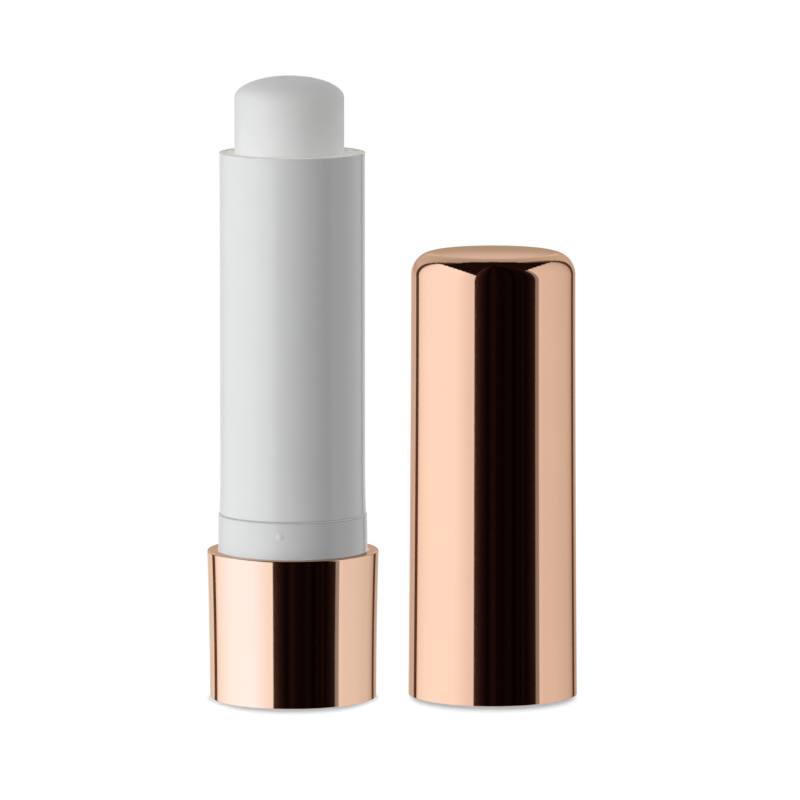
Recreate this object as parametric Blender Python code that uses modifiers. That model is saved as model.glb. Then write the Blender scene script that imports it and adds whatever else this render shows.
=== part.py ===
"""Twist-up lip balm stick with its pull-off cap standing beside it.

The script clears the scene and models the stick in metres, +Z up.
The origin is on the table, on the axis of the stick.
Turning the barrel over the base drives a cup with the balm up and down:
two lugs on the cup pass through upright slots in the sleeve, which turns
with the base, and ride in two helical slots of the spiral in the barrel.
"""

import math

import bmesh
import bpy

# Fineness of the round shapes
OUTER_STEPS = 64
INNER_STEPS = 44
EDGE_STEPS = 2
CORNER_STEPS = 7
CROWN_STEPS = 3
DOME_STEPS = 9
FLARE_STEPS = 4
LUG_SIDES = 16
NUB_SEGMENTS = 12
NUB_RINGS = 8
HELIX_STEPS_PER_TURN = 32
HELIX_BEVEL_RESOLUTION = 2
SMOOTH_ANGLE = math.radians(35)
MERGE_DISTANCE = 0.000001
CUT_OVERRUN = 0.001

# Balm
BALM_RADIUS = 0.00631
BALM_SHOWN = 0.00877
BALM_DOME_HEIGHT = 0.0025
BALM_FOOT_EDGE = 0.0003
BALM_GAP = 0.00043
BALM_SIDE_SHARE = 0.76
STEM_GAP = 0.00012
SEAT_GAP = 0.0003

# Cup that carries the balm
CUP_GAP = 0.00014
CUP_WALL = 0.00048
CUP_FLOOR = 0.0008
CUP_HEIGHT = 0.0095
CUP_EDGE = 0.00012
CUP_PROUD = 0.0003
RETRACT_DEPTH = 0.0018
LUG_RADIUS = 0.00075
LUG_RISE = 0.0016
LUG_CLEARANCE = 0.0002
LUG_TIP_SHARE = 0.8

# Slotted sleeve, which turns with the base
SLEEVE_WALL = 0.0005
SLEEVE_SETBACK = 0.00005
FLANGE_THICKNESS = 0.0011
MOUTH_CHAMFER = 0.0004
SNAP_BEAD = 0.00018
SNAP_BEAD_HEIGHT = 0.001
SNAP_BEAD_RISE = 0.006
SNAP_CLEARANCE = 0.0001
KEY_COUNT = 4
KEY_WIDTH = 0.0014
KEY_HEIGHT = 0.003
KEY_CLEARANCE = 0.00012

# Spiral, pressed into the barrel
RUNNING_GAP = 0.0001
SPIRAL_WALL = 0.00046
SPIRAL_LEAD = 0.016
LUG_LOWEST_RISE = 0.0063
PRESS_GAP = 0.00008
END_GAP = 0.0002

# Barrel
BARREL_WALL = 0.00049
BARREL_LENGTH = 0.04179
BARREL_LIP = 0.00004
BARREL_LIP_HEIGHT = 0.0005
BARREL_EDGE = 0.00008
SKIRT_FLARE = 0.0001
SKIRT_HEIGHT = 0.0055
SEAM_GAP = 0.00015

# Inner base with the collar that the cap snaps over
COLLAR_STEP = 0.00021
COLLAR_DRAFT = 0.00006
COLLAR_RISE = 0.00423
COLLAR_EDGE = 0.0001
INNER_BASE_FLOOR = 0.0012
INNER_BASE_WALL = 0.001
CHAMBER_HEIGHT = 0.0059
NUB_COUNT = 3
NUB_RADIUS = 0.00045
NUB_PROUD = 0.0002
NUB_DROP = 0.0016
NUB_FIRST_ANGLE = math.radians(-99)

# Outer base
GLUE_GAP = 0.00014
BASE_RIM_WALL = 0.00115
BASE_TAPER = 0.00027
BASE_TAPER_POWER = 2.0
BASE_HEIGHT = 0.01716
BASE_FLOOR = 0.0014
BASE_RIM_EDGE = 0.0002
BASE_FOOT_EDGE = 0.00025

# Cap
CAP_GAP = 0.0001
CAP_RIM_WALL = 0.00106
CAP_TOP_WALL = 0.00095
CAP_CROWN_WALL = 0.0014
CAP_HEIGHT = 0.05176
CAP_TAPER = 0.00031
CAP_TAPER_POWER = 1.5
CAP_CORNER = 0.0026
CAP_CROWN_DROP = 0.0002
CAP_INNER_CORNER = 0.0015
CAP_RIM_EDGE = 0.00012
CAP_GROOVE_DEPTH = 0.00018
CAP_GROOVE_HEIGHT = 0.0012
CAP_STANDING_GAP = 0.00344
CAP_SETBACK = 0.002

# Radii, worked out from the balm outwards
sleeve_bore = BALM_RADIUS + BALM_GAP
sleeve_radius = sleeve_bore + SLEEVE_WALL
spiral_bore = sleeve_radius + RUNNING_GAP
spiral_radius = spiral_bore + SPIRAL_WALL
barrel_bore = spiral_radius + PRESS_GAP
barrel_radius = barrel_bore + BARREL_WALL
collar_top_radius = barrel_radius + COLLAR_STEP
collar_radius = collar_top_radius + COLLAR_DRAFT
base_bore = collar_radius + GLUE_GAP
base_rim_radius = base_bore + BASE_RIM_WALL
cap_bore = collar_radius + CAP_GAP
cap_rim_radius = cap_bore + CAP_RIM_WALL
flange_radius = barrel_bore - RUNNING_GAP
cup_radius = sleeve_bore - CUP_GAP
cup_bore = cup_radius - CUP_WALL
balm_offset = -BALM_GAP * BALM_SIDE_SHARE
stem_radius = cup_bore + balm_offset - STEM_GAP
lug_tip = spiral_bore + SPIRAL_WALL * LUG_TIP_SHARE
slot_half_width = LUG_RADIUS + LUG_CLEARANCE

# Heights above the table
collar_top = BASE_HEIGHT + COLLAR_RISE
barrel_foot = collar_top + SEAM_GAP
barrel_top = barrel_foot + BARREL_LENGTH
sleeve_top = barrel_top - SLEEVE_SETBACK
flange_foot = sleeve_top - FLANGE_THICKNESS
spiral_top = flange_foot - END_GAP
spiral_foot = collar_top + END_GAP
inner_base_foot = BASE_FLOOR + SEAT_GAP
chamber_top = inner_base_foot + CHAMBER_HEIGHT
inner_floor_top = chamber_top + INNER_BASE_FLOOR
sleeve_foot = inner_floor_top + SEAT_GAP
balm_top = barrel_top + BALM_SHOWN
drop_to_bottom = BALM_SHOWN + RETRACT_DEPTH
lug_lowest = spiral_foot + LUG_LOWEST_RISE
lug_height = lug_lowest + drop_to_bottom
cup_foot = lug_height - LUG_RISE
cup_top = cup_foot + CUP_HEIGHT
rise_to_top = barrel_top + CUP_PROUD - cup_top
lug_highest = lug_height + rise_to_top

# Place of the cap
cap_x = base_rim_radius + CAP_STANDING_GAP + cap_rim_radius


# Scene and material helpers

def clear_scene():
    for item in list(bpy.data.objects):
        bpy.data.objects.remove(item, do_unlink=True)


def new_collection(name):
    collection = bpy.data.collections.new(name)
    bpy.context.scene.collection.children.link(collection)
    return collection


def new_material(name, colour, roughness, metallic):
    material = bpy.data.materials.new(name)
    material.use_nodes = True
    shader = material.node_tree.nodes["Principled BSDF"]
    shader.inputs["Base Color"].default_value = (*colour, 1.0)
    shader.inputs["Roughness"].default_value = roughness
    shader.inputs["Metallic"].default_value = metallic
    material.diffuse_color = (*colour, 1.0)
    return material


# Shape helpers

def arc(centre_r, centre_z, radius, start, end, steps):
    """Points of a round edge, as (r, z), from one angle in degrees to another."""
    points = []
    for step in range(steps + 1):
        angle = math.radians(start + (end - start) * step / steps)
        points.append((centre_r + radius * math.cos(angle), centre_z + radius * math.sin(angle)))
    return points


def crown(top_z, edge_r, drop, steps):
    """Points of a shallow dome, from the axis out to its edge."""
    radius = (edge_r ** 2 + drop ** 2) / (2 * drop)
    points = []
    for step in range(steps + 1):
        r = edge_r * step / steps
        points.append((r, top_z - radius + math.sqrt(radius ** 2 - r ** 2)))
    return points


def turned(name, outline, steps, material, collection, closed=False):
    """Turn an outline of (r, z) points round the Z axis with a Screw modifier."""
    mesh = bpy.data.meshes.new(name)
    edges = [(i, i + 1) for i in range(len(outline) - 1)]
    if closed:
        edges.append((len(outline) - 1, 0))
    mesh.from_pydata([(r, 0.0, z) for r, z in outline], edges, [])
    item = bpy.data.objects.new(name, mesh)
    collection.objects.link(item)
    screw = item.modifiers.new("Turn", 'SCREW')
    screw.axis = 'Z'
    screw.angle = math.tau
    screw.steps = steps
    screw.render_steps = steps
    screw.use_merge_vertices = True
    screw.merge_threshold = MERGE_DISTANCE
    screw.use_smooth_shade = True
    if material:
        mesh.materials.append(material)
    return item


def settle(item):
    """Replace an object's mesh by its evaluated one, and shade it smooth."""
    graph = bpy.context.evaluated_depsgraph_get()
    mesh = bpy.data.meshes.new_from_object(item.evaluated_get(graph))
    item.modifiers.clear()
    item.data = mesh
    mesh.name = item.name
    mesh.shade_smooth()
    mesh.set_sharp_from_angle(angle=SMOOTH_ANGLE)
    return item


def mesh_object(name, builder, collection):
    """Make an object from a function that fills a bmesh."""
    mesh = bpy.data.meshes.new(name)
    shape = bmesh.new()
    builder(shape)
    bmesh.ops.recalc_face_normals(shape, faces=shape.faces)
    shape.to_mesh(mesh)
    shape.free()
    item = bpy.data.objects.new(name, mesh)
    collection.objects.link(item)
    return item


def as_cutter(item):
    item.hide_render = True
    item.display_type = 'WIRE'
    return item


def combine(item, tools, operation):
    """Cut tools out of an object, or join them to it."""
    for tool in tools:
        boolean = item.modifiers.new(tool.name, 'BOOLEAN')
        boolean.operation = operation
        boolean.object = tool
        boolean.solver = 'EXACT'


def box(name, low, high, turn, collection):
    """A box between two corners, turned about the Z axis."""
    def fill(shape):
        bmesh.ops.create_cube(shape, size=1.0)
        for vertex in shape.verts:
            for axis in range(3):
                vertex.co[axis] = low[axis] if vertex.co[axis] < 0 else high[axis]
    item = mesh_object(name, fill, collection)
    item.rotation_euler.z = turn
    return as_cutter(item)


def round_bar(name, radius, start_x, end_x, height, turn, collection):
    """A round bar that lies along a radius, at a height."""
    def fill(shape):
        bmesh.ops.create_cone(shape, cap_ends=True, segments=LUG_SIDES,
                              radius1=radius, radius2=radius, depth=end_x - start_x)
        for vertex in shape.verts:
            x, y, z = vertex.co
            vertex.co = (z + (start_x + end_x) / 2, y, height - x)
    item = mesh_object(name, fill, collection)
    item.rotation_euler.z = turn
    return as_cutter(item)


def helix_bar(name, radius, path_radius, start_z, end_z, rest_z, turn, collection):
    """A round bar along a right-hand helix that passes its turn angle at rest_z."""
    turns = (end_z - start_z) / SPIRAL_LEAD
    count = math.ceil(turns * HELIX_STEPS_PER_TURN)
    data = bpy.data.curves.new(name, 'CURVE')
    data.dimensions = '3D'
    data.bevel_depth = radius
    data.bevel_resolution = HELIX_BEVEL_RESOLUTION
    data.use_fill_caps = True
    spline = data.splines.new('POLY')
    spline.points.add(count)
    for step, point in enumerate(spline.points):
        z = start_z + (end_z - start_z) * step / count
        angle = turn + math.tau * (z - rest_z) / SPIRAL_LEAD
        point.co = (path_radius * math.cos(angle), path_radius * math.sin(angle), z, 1.0)
    curve = bpy.data.objects.new(name + "_curve", data)
    collection.objects.link(curve)
    graph = bpy.context.evaluated_depsgraph_get()
    mesh = bpy.data.meshes.new_from_object(curve.evaluated_get(graph))
    shape = bmesh.new()
    shape.from_mesh(mesh)
    bmesh.ops.remove_doubles(shape, verts=shape.verts, dist=MERGE_DISTANCE)
    bmesh.ops.recalc_face_normals(shape, faces=shape.faces)
    shape.to_mesh(mesh)
    shape.free()
    item = bpy.data.objects.new(name, mesh)
    item.matrix_world = curve.matrix_world
    collection.objects.link(item)
    bpy.data.objects.remove(curve, do_unlink=True)
    return as_cutter(item)


# Pieces

def make_outer_base(parts, material):
    """Metallised cup that closes the stick from below."""
    outline = [(0.0, BASE_FLOOR), (base_bore, BASE_FLOOR), (base_bore, BASE_HEIGHT)]
    outline += arc(base_rim_radius - BASE_RIM_EDGE, BASE_HEIGHT - BASE_RIM_EDGE, BASE_RIM_EDGE,
                   90, 0, EDGE_STEPS)
    side_top = BASE_HEIGHT - BASE_RIM_EDGE
    side_height = side_top - BASE_FOOT_EDGE
    foot_radius = base_rim_radius - BASE_TAPER
    for step in range(1, FLARE_STEPS):
        drop_share = step / FLARE_STEPS
        z = side_top - side_height * drop_share
        r = foot_radius + BASE_TAPER * (1.0 - drop_share) ** BASE_TAPER_POWER
        outline.append((r, z))
    outline += arc(foot_radius - BASE_FOOT_EDGE, BASE_FOOT_EDGE, BASE_FOOT_EDGE, 0, -90, EDGE_STEPS)
    outline.append((0.0, 0.0))
    return settle(turned("outer_base", outline, OUTER_STEPS, material, parts))


def make_inner_base(parts, tools, material):
    """White insert: a collar with cap nubs, a keyed bore and a chamber below its floor."""
    groove_foot = sleeve_foot + SNAP_BEAD_RISE - SNAP_CLEARANCE
    groove_top = sleeve_foot + SNAP_BEAD_RISE + SNAP_BEAD_HEIGHT + SNAP_CLEARANCE
    groove_middle = (groove_foot + groove_top) / 2
    outline = [
        (0.0, inner_floor_top),
        (spiral_bore, inner_floor_top),
        (spiral_bore, groove_foot),
        (spiral_bore + SNAP_BEAD, groove_middle),
        (spiral_bore, groove_top),
        (spiral_bore, collar_top),
    ]
    outline += arc(collar_top_radius - COLLAR_EDGE, collar_top - COLLAR_EDGE, COLLAR_EDGE,
                   90, 0, EDGE_STEPS)
    chamber_radius = collar_radius - INNER_BASE_WALL
    outline += [
        (collar_radius, BASE_HEIGHT),
        (collar_radius, inner_base_foot),
        (chamber_radius, inner_base_foot),
        (chamber_radius, chamber_top),
        (0.0, chamber_top),
    ]
    item = turned("inner_base", outline, OUTER_STEPS, material, parts)

    nub_height = collar_top - NUB_DROP
    nub_centre = collar_top_radius + NUB_PROUD - NUB_RADIUS
    blanks = []
    for index in range(NUB_COUNT):
        def fill(shape):
            bmesh.ops.create_uvsphere(shape, u_segments=NUB_SEGMENTS, v_segments=NUB_RINGS,
                                      radius=NUB_RADIUS)
        nub = mesh_object(f"nub_blank_{index + 1}", fill, tools)
        angle = NUB_FIRST_ANGLE + math.tau * index / NUB_COUNT
        nub.location = (nub_centre * math.cos(angle), nub_centre * math.sin(angle), nub_height)
        blanks.append(as_cutter(nub))
    for index in range(KEY_COUNT):
        turn = math.tau * (index + 0.5) / KEY_COUNT
        low = (sleeve_bore, -KEY_WIDTH / 2, chamber_top + INNER_BASE_FLOOR / 2)
        high = (spiral_bore + SNAP_BEAD, KEY_WIDTH / 2, sleeve_foot + KEY_HEIGHT)
        blanks.append(box(f"key_blank_{index + 1}", low, high, turn, tools))
    combine(item, blanks, 'UNION')
    return settle(item)


def make_sleeve(parts, tools, material):
    """Slotted sleeve with a flange at its mouth, snapped and keyed into the inner base."""
    bead_foot = sleeve_foot + SNAP_BEAD_RISE
    bead_top = bead_foot + SNAP_BEAD_HEIGHT
    outline = [
        (sleeve_bore + MOUTH_CHAMFER, sleeve_top),
        (flange_radius, sleeve_top),
        (flange_radius, flange_foot),
        (sleeve_radius, flange_foot),
        (sleeve_radius, bead_top),
        (sleeve_radius + SNAP_BEAD, (bead_foot + bead_top) / 2),
        (sleeve_radius, bead_foot),
        (sleeve_radius, sleeve_foot),
        (sleeve_bore, sleeve_foot),
        (sleeve_bore, sleeve_top - MOUTH_CHAMFER),
    ]
    item = turned("slotted_sleeve", outline, INNER_STEPS, material, parts, closed=True)

    low = (-flange_radius - CUT_OVERRUN, -slot_half_width, lug_lowest - slot_half_width)
    high = (flange_radius + CUT_OVERRUN, slot_half_width, lug_highest + slot_half_width)
    cuts = [box("upright_slot_cutter", low, high, 0.0, tools)]
    for index in range(KEY_COUNT):
        turn = math.tau * (index + 0.5) / KEY_COUNT
        half_width = KEY_WIDTH / 2 + KEY_CLEARANCE
        low = (sleeve_bore - CUT_OVERRUN, -half_width, sleeve_foot - CUT_OVERRUN)
        high = (sleeve_radius + CUT_OVERRUN, half_width, sleeve_foot + KEY_HEIGHT + KEY_CLEARANCE)
        cuts.append(box(f"key_notch_cutter_{index + 1}", low, high, turn, tools))
    combine(item, cuts, 'DIFFERENCE')
    return settle(item)


def make_spiral(parts, tools, material):
    """Tube with two helical slots, pressed into the barrel."""
    outline = [
        (spiral_radius, spiral_top),
        (spiral_radius, spiral_foot),
        (spiral_bore, spiral_foot),
        (spiral_bore, spiral_top),
    ]
    item = turned("spiral", outline, INNER_STEPS, material, parts, closed=True)
    path_radius = (spiral_bore + spiral_radius) / 2
    climb = math.atan2(SPIRAL_LEAD, math.tau * path_radius)
    end_rise = slot_half_width * math.sin(climb)
    cuts = []
    for index in range(2):
        cuts.append(helix_bar(f"helix_cutter_{index + 1}", slot_half_width, path_radius,
                              lug_lowest - end_rise, lug_highest + end_rise, lug_height,
                              math.pi * index, tools))
    combine(item, cuts, 'DIFFERENCE')
    return settle(item)


def make_barrel(parts, material):
    """Outer tube that the fingers hold, with a fine lip and a slightly flared skirt."""
    lip_radius = barrel_radius + BARREL_LIP
    skirt_radius = barrel_radius + SKIRT_FLARE
    outline = [(barrel_bore, barrel_top)]
    outline += arc(lip_radius - BARREL_EDGE, barrel_top - BARREL_EDGE, BARREL_EDGE, 90, 0, EDGE_STEPS)
    outline.append((barrel_radius, barrel_top - BARREL_LIP_HEIGHT))
    for step in range(FLARE_STEPS):
        drop_share = step / FLARE_STEPS
        z = barrel_foot + SKIRT_HEIGHT * (1.0 - drop_share)
        outline.append((barrel_radius + SKIRT_FLARE * drop_share ** 2, z))
    outline += arc(skirt_radius - BARREL_EDGE, barrel_foot + BARREL_EDGE, BARREL_EDGE, 0, -90, EDGE_STEPS)
    outline.append((barrel_bore, barrel_foot))
    return settle(turned("barrel", outline, OUTER_STEPS, material, parts, closed=True))


def make_cup(parts, tools, material):
    """Cup that carries the balm, with two lugs for the slots."""
    outline = [
        (0.0, cup_foot + CUP_FLOOR),
        (cup_bore, cup_foot + CUP_FLOOR),
        (cup_bore, cup_top),
        (cup_radius - CUP_EDGE, cup_top),
        (cup_radius, cup_top - CUP_EDGE),
        (cup_radius, cup_foot + CUP_EDGE),
        (cup_radius - CUP_EDGE, cup_foot),
        (0.0, cup_foot),
    ]
    item = turned("cup", outline, INNER_STEPS, material, parts)
    lug_root = cup_radius - CUP_WALL / 2
    lugs = []
    for index in range(2):
        lugs.append(round_bar(f"lug_blank_{index + 1}", LUG_RADIUS, lug_root, lug_tip, lug_height,
                              math.pi * index, tools))
    combine(item, lugs, 'UNION')
    return settle(item)


def make_balm(parts, material):
    """Domed stick of wax on a thinner stem, standing a little to one side in its cup."""
    outline = []
    for step in range(DOME_STEPS + 1):
        angle = math.radians(90) * step / DOME_STEPS
        r = BALM_RADIUS * math.sin(angle)
        outline.append((r, balm_top - BALM_DOME_HEIGHT * (1.0 - math.cos(angle))))
    outline += [
        (BALM_RADIUS, cup_top + SEAT_GAP + BALM_FOOT_EDGE),
        (BALM_RADIUS - BALM_FOOT_EDGE, cup_top + SEAT_GAP),
        (stem_radius, cup_top + SEAT_GAP),
        (stem_radius, cup_foot + CUP_FLOOR + SEAT_GAP + BALM_FOOT_EDGE),
        (stem_radius - BALM_FOOT_EDGE, cup_foot + CUP_FLOOR + SEAT_GAP),
        (0.0, cup_foot + CUP_FLOOR + SEAT_GAP),
    ]
    item = settle(turned("balm", outline, OUTER_STEPS, material, parts))
    item.location = (balm_offset, 0.0, 0.0)
    return item


def make_cap(parts, material):
    """Pull-off cap, standing on its open end beside the stick."""
    top_radius = cap_rim_radius - CAP_TAPER
    corner_radius = top_radius - CAP_CORNER
    corner_z = CAP_HEIGHT - CAP_CROWN_DROP - CAP_CORNER
    outline = crown(CAP_HEIGHT, corner_radius, CAP_CROWN_DROP, CROWN_STEPS)
    outline += arc(corner_radius, corner_z, CAP_CORNER, 90, 0, CORNER_STEPS)[1:]
    side_height = corner_z - CAP_RIM_EDGE
    for step in range(1, FLARE_STEPS):
        rise_share = 1.0 - step / FLARE_STEPS
        r = top_radius + CAP_TAPER * (1.0 - rise_share) ** CAP_TAPER_POWER
        outline.append((r, CAP_RIM_EDGE + side_height * rise_share))
    outline += arc(cap_rim_radius - CAP_RIM_EDGE, CAP_RIM_EDGE, CAP_RIM_EDGE, 0, -90, EDGE_STEPS)

    groove_middle = collar_top - NUB_DROP - BASE_HEIGHT
    groove_reach = CAP_GROOVE_HEIGHT / 2
    inner_top_radius = top_radius - CAP_TOP_WALL
    inner_top = CAP_HEIGHT - CAP_CROWN_WALL
    outline += [
        (cap_bore + CAP_RIM_EDGE, 0.0),
        (cap_bore, CAP_RIM_EDGE),
        (cap_bore, groove_middle - groove_reach),
        (cap_bore + CAP_GROOVE_DEPTH, groove_middle),
        (cap_bore, groove_middle + groove_reach),
    ]
    outline += arc(inner_top_radius - CAP_INNER_CORNER, inner_top - CAP_INNER_CORNER, CAP_INNER_CORNER,
                   0, 90, EDGE_STEPS)
    outline.append((0.0, inner_top))
    item = settle(turned("cap", outline, OUTER_STEPS, material, parts))
    item.location = (cap_x, CAP_SETBACK, 0.0)
    return item


def empty_on_axis(name, location, collection):
    """Empty on the axis of a moving group."""
    item = bpy.data.objects.new(name, None)
    item.empty_display_size = BALM_RADIUS
    item.location = location
    collection.objects.link(item)
    return item


def hang(child, parent):
    """Parent a piece and keep its place in the world."""
    bpy.context.view_layer.update()
    child.parent = parent
    child.matrix_parent_inverse = parent.matrix_world.inverted()


def build():
    clear_scene()
    parts = new_collection("lip_balm_stick")
    tools = new_collection("cutters")

    base_finish = new_material("outer_base_finish", (0.86, 0.57, 0.44), 0.12, 1.0)
    cap_finish = new_material("cap_finish", (0.86, 0.57, 0.44), 0.12, 1.0)
    barrel_plastic = new_material("barrel_plastic", (0.80, 0.81, 0.81), 0.3, 0.0)
    inner_base_plastic = new_material("inner_base_plastic", (0.78, 0.79, 0.79), 0.3, 0.0)
    sleeve_plastic = new_material("sleeve_plastic", (0.78, 0.79, 0.79), 0.35, 0.0)
    spiral_plastic = new_material("spiral_plastic", (0.74, 0.74, 0.74), 0.4, 0.0)
    cup_plastic = new_material("cup_plastic", (0.74, 0.74, 0.74), 0.4, 0.0)
    balm_wax = new_material("balm_wax", (0.82, 0.82, 0.80), 0.5, 0.0)

    make_outer_base(parts, base_finish)
    make_inner_base(parts, tools, inner_base_plastic)
    make_sleeve(parts, tools, sleeve_plastic)

    barrel_axis = empty_on_axis("barrel_twist_axis", (0.0, 0.0, barrel_foot), parts)
    hang(make_spiral(parts, tools, spiral_plastic), barrel_axis)
    hang(make_barrel(parts, barrel_plastic), barrel_axis)

    lift_axis = empty_on_axis("cup_lift_axis", (0.0, 0.0, cup_foot), parts)
    hang(make_cup(parts, tools, cup_plastic), lift_axis)
    hang(make_balm(parts, balm_wax), lift_axis)

    make_cap(parts, cap_finish)


build()
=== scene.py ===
"""Looks of the twist-up lip balm stick and its cap, around the CAD model.

Seven sub-parts are turned again as fine meshes, the spiral keeps its own, and
each of the eight has a procedural material. Lengths are in metres. Azimuths
are in degrees, 0 towards the photograph's camera (-Y) and positive towards the
cap (+X).
"""

import math

import bmesh
import bpy
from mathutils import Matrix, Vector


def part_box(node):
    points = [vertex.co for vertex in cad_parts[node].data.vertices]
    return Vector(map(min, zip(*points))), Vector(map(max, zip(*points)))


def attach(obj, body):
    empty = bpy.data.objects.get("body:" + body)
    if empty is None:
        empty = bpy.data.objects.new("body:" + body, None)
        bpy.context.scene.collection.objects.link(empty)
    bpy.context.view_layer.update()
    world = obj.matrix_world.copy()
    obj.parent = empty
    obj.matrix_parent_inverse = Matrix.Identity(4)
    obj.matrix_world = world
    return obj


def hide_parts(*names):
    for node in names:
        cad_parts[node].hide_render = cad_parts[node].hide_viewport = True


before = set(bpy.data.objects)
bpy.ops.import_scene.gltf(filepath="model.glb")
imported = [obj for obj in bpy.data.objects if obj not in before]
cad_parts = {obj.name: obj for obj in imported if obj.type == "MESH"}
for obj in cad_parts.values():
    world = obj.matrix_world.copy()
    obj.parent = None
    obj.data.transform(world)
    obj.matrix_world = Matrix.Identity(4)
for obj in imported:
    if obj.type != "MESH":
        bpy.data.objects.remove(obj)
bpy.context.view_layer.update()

scene = bpy.context.scene

# Fineness of the meshes
SEGMENTS = 256
EDGE_STEPS = 6
CORNER_STEPS = 28
DOME_STEPS = 48
FLARE_STEPS = 24
RING_SPACING = 0.0012
EASE = 0.00003
SHORTEST_EASED_RUN = 4 * EASE
BAR_SEGMENTS = 32
SMOOTH_ANGLE = math.radians(32)
MERGE_DISTANCE = 0.0000005
CUT_OVERRUN = 0.001

# Details of the pieces, as in the CAD model, with some edges a little finer
BALM_DOME_HEIGHT = 0.0025
BALM_FOOT_EDGE = 0.0003
STEM_RADIUS = 0.005673
SEAT_GAP = 0.0003

CUP_WALL = 0.00048
CUP_FLOOR = 0.0008
CUP_EDGE = 0.00012
LUG_COUNT = 2
LUG_RADIUS = 0.00075
LUG_RISE = 0.0016

SLEEVE_WALL = 0.0005
SLEEVE_BORE = 0.00674
FLANGE_THICKNESS = 0.0011
MOUTH_CHAMFER = 0.00018
MOUTH_ROUND = 0.00005
MOUTH_GAP = 0.00003
SNAP_BEAD = 0.00018
SNAP_BEAD_HEIGHT = 0.001
SNAP_BEAD_RISE = 0.006
SNAP_CLEARANCE = 0.0001
SLOT_HALF_WIDTH = 0.00095
SLOT_FOOT = 0.02694
SLOT_TOP = 0.05668
KEY_COUNT = 4
KEY_WIDTH = 0.0014
KEY_HEIGHT = 0.003
KEY_CLEARANCE = 0.00012

BARREL_BORE = 0.00788
BARREL_RADIUS = 0.00837
BARREL_LIP = 0.00004
BARREL_LIP_HEIGHT = 0.0005
BARREL_EDGE = 0.00008
BARREL_FOOT_EDGE = 0.00008
BARREL_FOOT_GAP = 0.00005
SKIRT_HEIGHT = 0.0055
SKIRT_POWER = 2

COLLAR_DRAFT = 0.00006
COLLAR_EDGE = 0.00003
COLLAR_BORE = 0.00734
INNER_FLOOR_TOP = 0.0088
INNER_BASE_FLOOR = 0.0012
INNER_BASE_WALL = 0.001
NUB_COUNT = 3
NUB_RADIUS = 0.0009
NUB_PROUD = 0.0001
NUB_DROP = 0.0016
NUB_BLEND = 0.00004
NUB_REACH = 0.0006
NUB_SPACING = 0.00004
NUB_SKIN_SHARE = 0.25
NUB_FIRST_ANGLE = math.radians(-99)

BASE_BORE = 0.00878
BASE_TAPER = 0.00027
BASE_TAPER_POWER = 2.0
BASE_FLOOR = 0.0014
BASE_RIM_EDGE = 0.0002
BASE_FOOT_EDGE = 0.00006

CAP_BORE = 0.00874
CAP_TOP_WALL = 0.00095
CAP_CROWN_WALL = 0.0014
CAP_TAPER = 0.00031
CAP_TAPER_POWER = 1.5
CAP_CORNER = 0.0026
CAP_CROWN_DROP = 0.0002
CAP_INNER_CORNER = 0.0015
CAP_RIM_EDGE = 0.00005
CAP_GROOVE_DEPTH = 0.00018
CAP_GROOVE_HEIGHT = 0.0012

# Camera, fitted to the rims in the photograph
CAMERA_PLACE = (0.0124, -0.908, 0.1502)
CAMERA_PITCH = math.radians(82.743)
CAMERA_LENS = 356.7
CAMERA_SENSOR = 36.0
CAMERA_NEAR = 0.01
CAMERA_FAR = 50.0


# Outlines

def arc(centre_r, centre_z, radius, start, end, steps):
    """Points of a round edge, as (r, z), from one angle in degrees to another."""
    points = []
    for step in range(steps + 1):
        angle = math.radians(start + (end - start) * step / steps)
        points.append((centre_r + radius * math.cos(angle), centre_z + radius * math.sin(angle)))
    return points


def eased(outline, closed):
    """Add rings beside the ends of long straight runs, and along them, for clean reflections."""
    ends = outline + outline[:1] if closed else outline
    points = []
    for (r0, z0), (r1, z1) in zip(ends, ends[1:]):
        points.append((r0, z0))
        length = math.hypot(r1 - r0, z1 - z0)
        if length < SHORTEST_EASED_RUN:
            continue
        count = max(1, round(length / RING_SPACING))
        shares = [EASE / length] + [step / count for step in range(1, count)] + [1 - EASE / length]
        for share in shares:
            points.append((r0 + (r1 - r0) * share, z0 + (z1 - z0) * share))
    if not closed:
        points.append(ends[-1])
    return points


def even_angles(count=SEGMENTS):
    return [math.tau * step / count for step in range(count)]


# Meshes

def turned(name, outline, closed=False, angles=None, centre=(0.0, 0.0)):
    """Turn an outline of (r, z) points round a vertical axis, as one closed surface."""
    angles = angles or even_angles()
    count = len(angles)
    points = eased(outline, closed)
    verts, rings = [], []
    for r, z in points:
        start = len(verts)
        if r < MERGE_DISTANCE:
            verts.append((centre[0], centre[1], z))
            rings.append([start] * count)
        else:
            verts += [(centre[0] + r * math.cos(a), centre[1] + r * math.sin(a), z) for a in angles]
            rings.append(list(range(start, start + count)))
    faces = []
    pairs = list(zip(rings, rings[1:]))
    if closed:
        pairs.append((rings[-1], rings[0]))
    for upper, lower in pairs:
        for i in range(count):
            j = (i + 1) % count
            corners = [upper[i], upper[j], lower[j], lower[i]]
            faces.append([c for k, c in enumerate(corners) if c != corners[k - 1]])
    mesh = bpy.data.meshes.new(name)
    mesh.from_pydata(verts, [], faces)
    item = bpy.data.objects.new(name, mesh)
    scene.collection.objects.link(item)
    return item


def finish_mesh(item):
    """Apply an object's modifiers, turn its faces outwards and shade it smooth."""
    if item.modifiers:
        graph = bpy.context.evaluated_depsgraph_get()
        mesh = bpy.data.meshes.new_from_object(item.evaluated_get(graph))
        item.modifiers.clear()
        item.data = mesh
    shape = bmesh.new()
    shape.from_mesh(item.data)
    bmesh.ops.recalc_face_normals(shape, faces=shape.faces)
    shape.to_mesh(item.data)
    shape.free()
    item.data.name = item.name
    item.data.shade_smooth()
    item.data.set_sharp_from_angle(angle=SMOOTH_ANGLE)
    return item


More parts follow.
